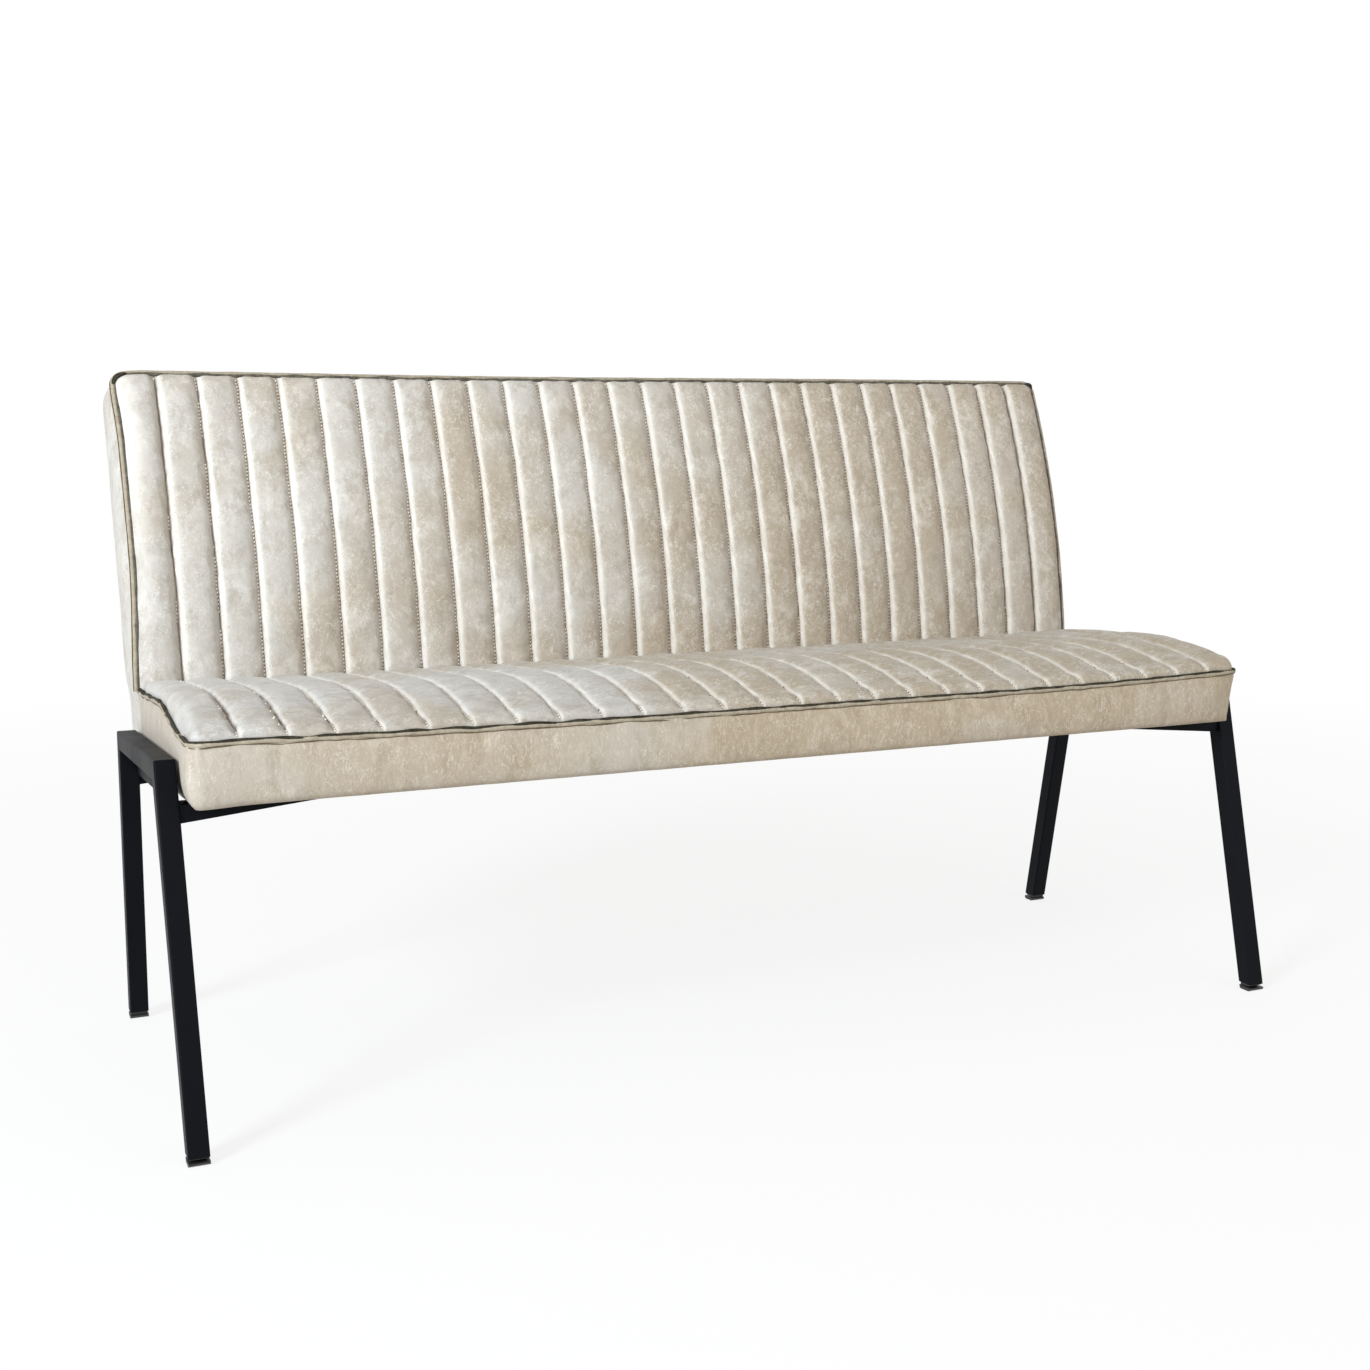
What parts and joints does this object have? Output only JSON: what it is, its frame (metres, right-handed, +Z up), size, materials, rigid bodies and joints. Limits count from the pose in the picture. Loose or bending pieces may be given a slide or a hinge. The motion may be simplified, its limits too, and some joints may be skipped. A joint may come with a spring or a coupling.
{
  "type": "dining bench",
  "caption": "Upholstered dining bench with a channel-stitched seat and leaning back on two open side frames of black square tube with splayed legs.",
  "frame": {"origin": "centre of the bench's footprint box, on the floor under its feet", "axes": "+X along the bench towards the end that is on the right in the picture, which is on a sitter's left, +Y from the front edge of the seat towards the back, +Z up"},
  "size_m": [1.55, 0.6942, 0.8972],
  "materials": {
    "upholstery": "champagne beige brushed microfibre with a leather look, mottled light and dark, soft sheen, cream stitching",
    "welt": "olive grey welt cord with a dark seam line on each side",
    "frame_paint": "matt black fine-textured powder coat on welded square steel tube",
    "cap_plastic": "matt black moulded plastic",
    "foam": "open-cell upholstery foam, hidden",
    "board_wood": "raw birch plywood and softwood, hidden",
    "zinc_steel": "bright zinc-plated steel",
    "lining_cloth": "black non-woven lining cloth"
  },
  "bodies": {
    "root": {"angle_screws": "zinc_steel", "back_angle_left": "zinc_steel", "back_angle_middle": "zinc_steel", "back_angle_right": "zinc_steel", "back_board": "board_wood", "back_boxing": "upholstery", "back_foam": "foam", "back_panel": "upholstery", "back_rib_left": "board_wood", "back_rib_middle": "board_wood", "back_rib_right": "board_wood", "back_top_rail": "board_wood", "back_welt": "welt", "bottom_lining": "lining_cloth", "front_arm_left": "frame_paint", "front_arm_right": "frame_paint", "front_foot_cap_left": "cap_plastic", "front_foot_cap_right": "cap_plastic", "front_leg_left": "frame_paint", "front_leg_right": "frame_paint", "rear_arm_left": "frame_paint", "rear_arm_right": "frame_paint", "rear_foot_cap_left": "cap_plastic", "rear_foot_cap_right": "cap_plastic", "rear_leg_left": "frame_paint", "rear_leg_right": "frame_paint", "rear_panel": "upholstery", "seat_board": "board_wood", "seat_bolts": "zinc_steel", "seat_boxing": "upholstery", "seat_foam": "foam", "seat_nuts": "zinc_steel", "seat_panel": "upholstery", "seat_washers": "zinc_steel", "seat_welt": "welt", "side_rail_left": "frame_paint", "side_rail_right": "frame_paint", "web_plate_left": "frame_paint", "web_plate_right": "frame_paint"}
  },
  "joints": []
}
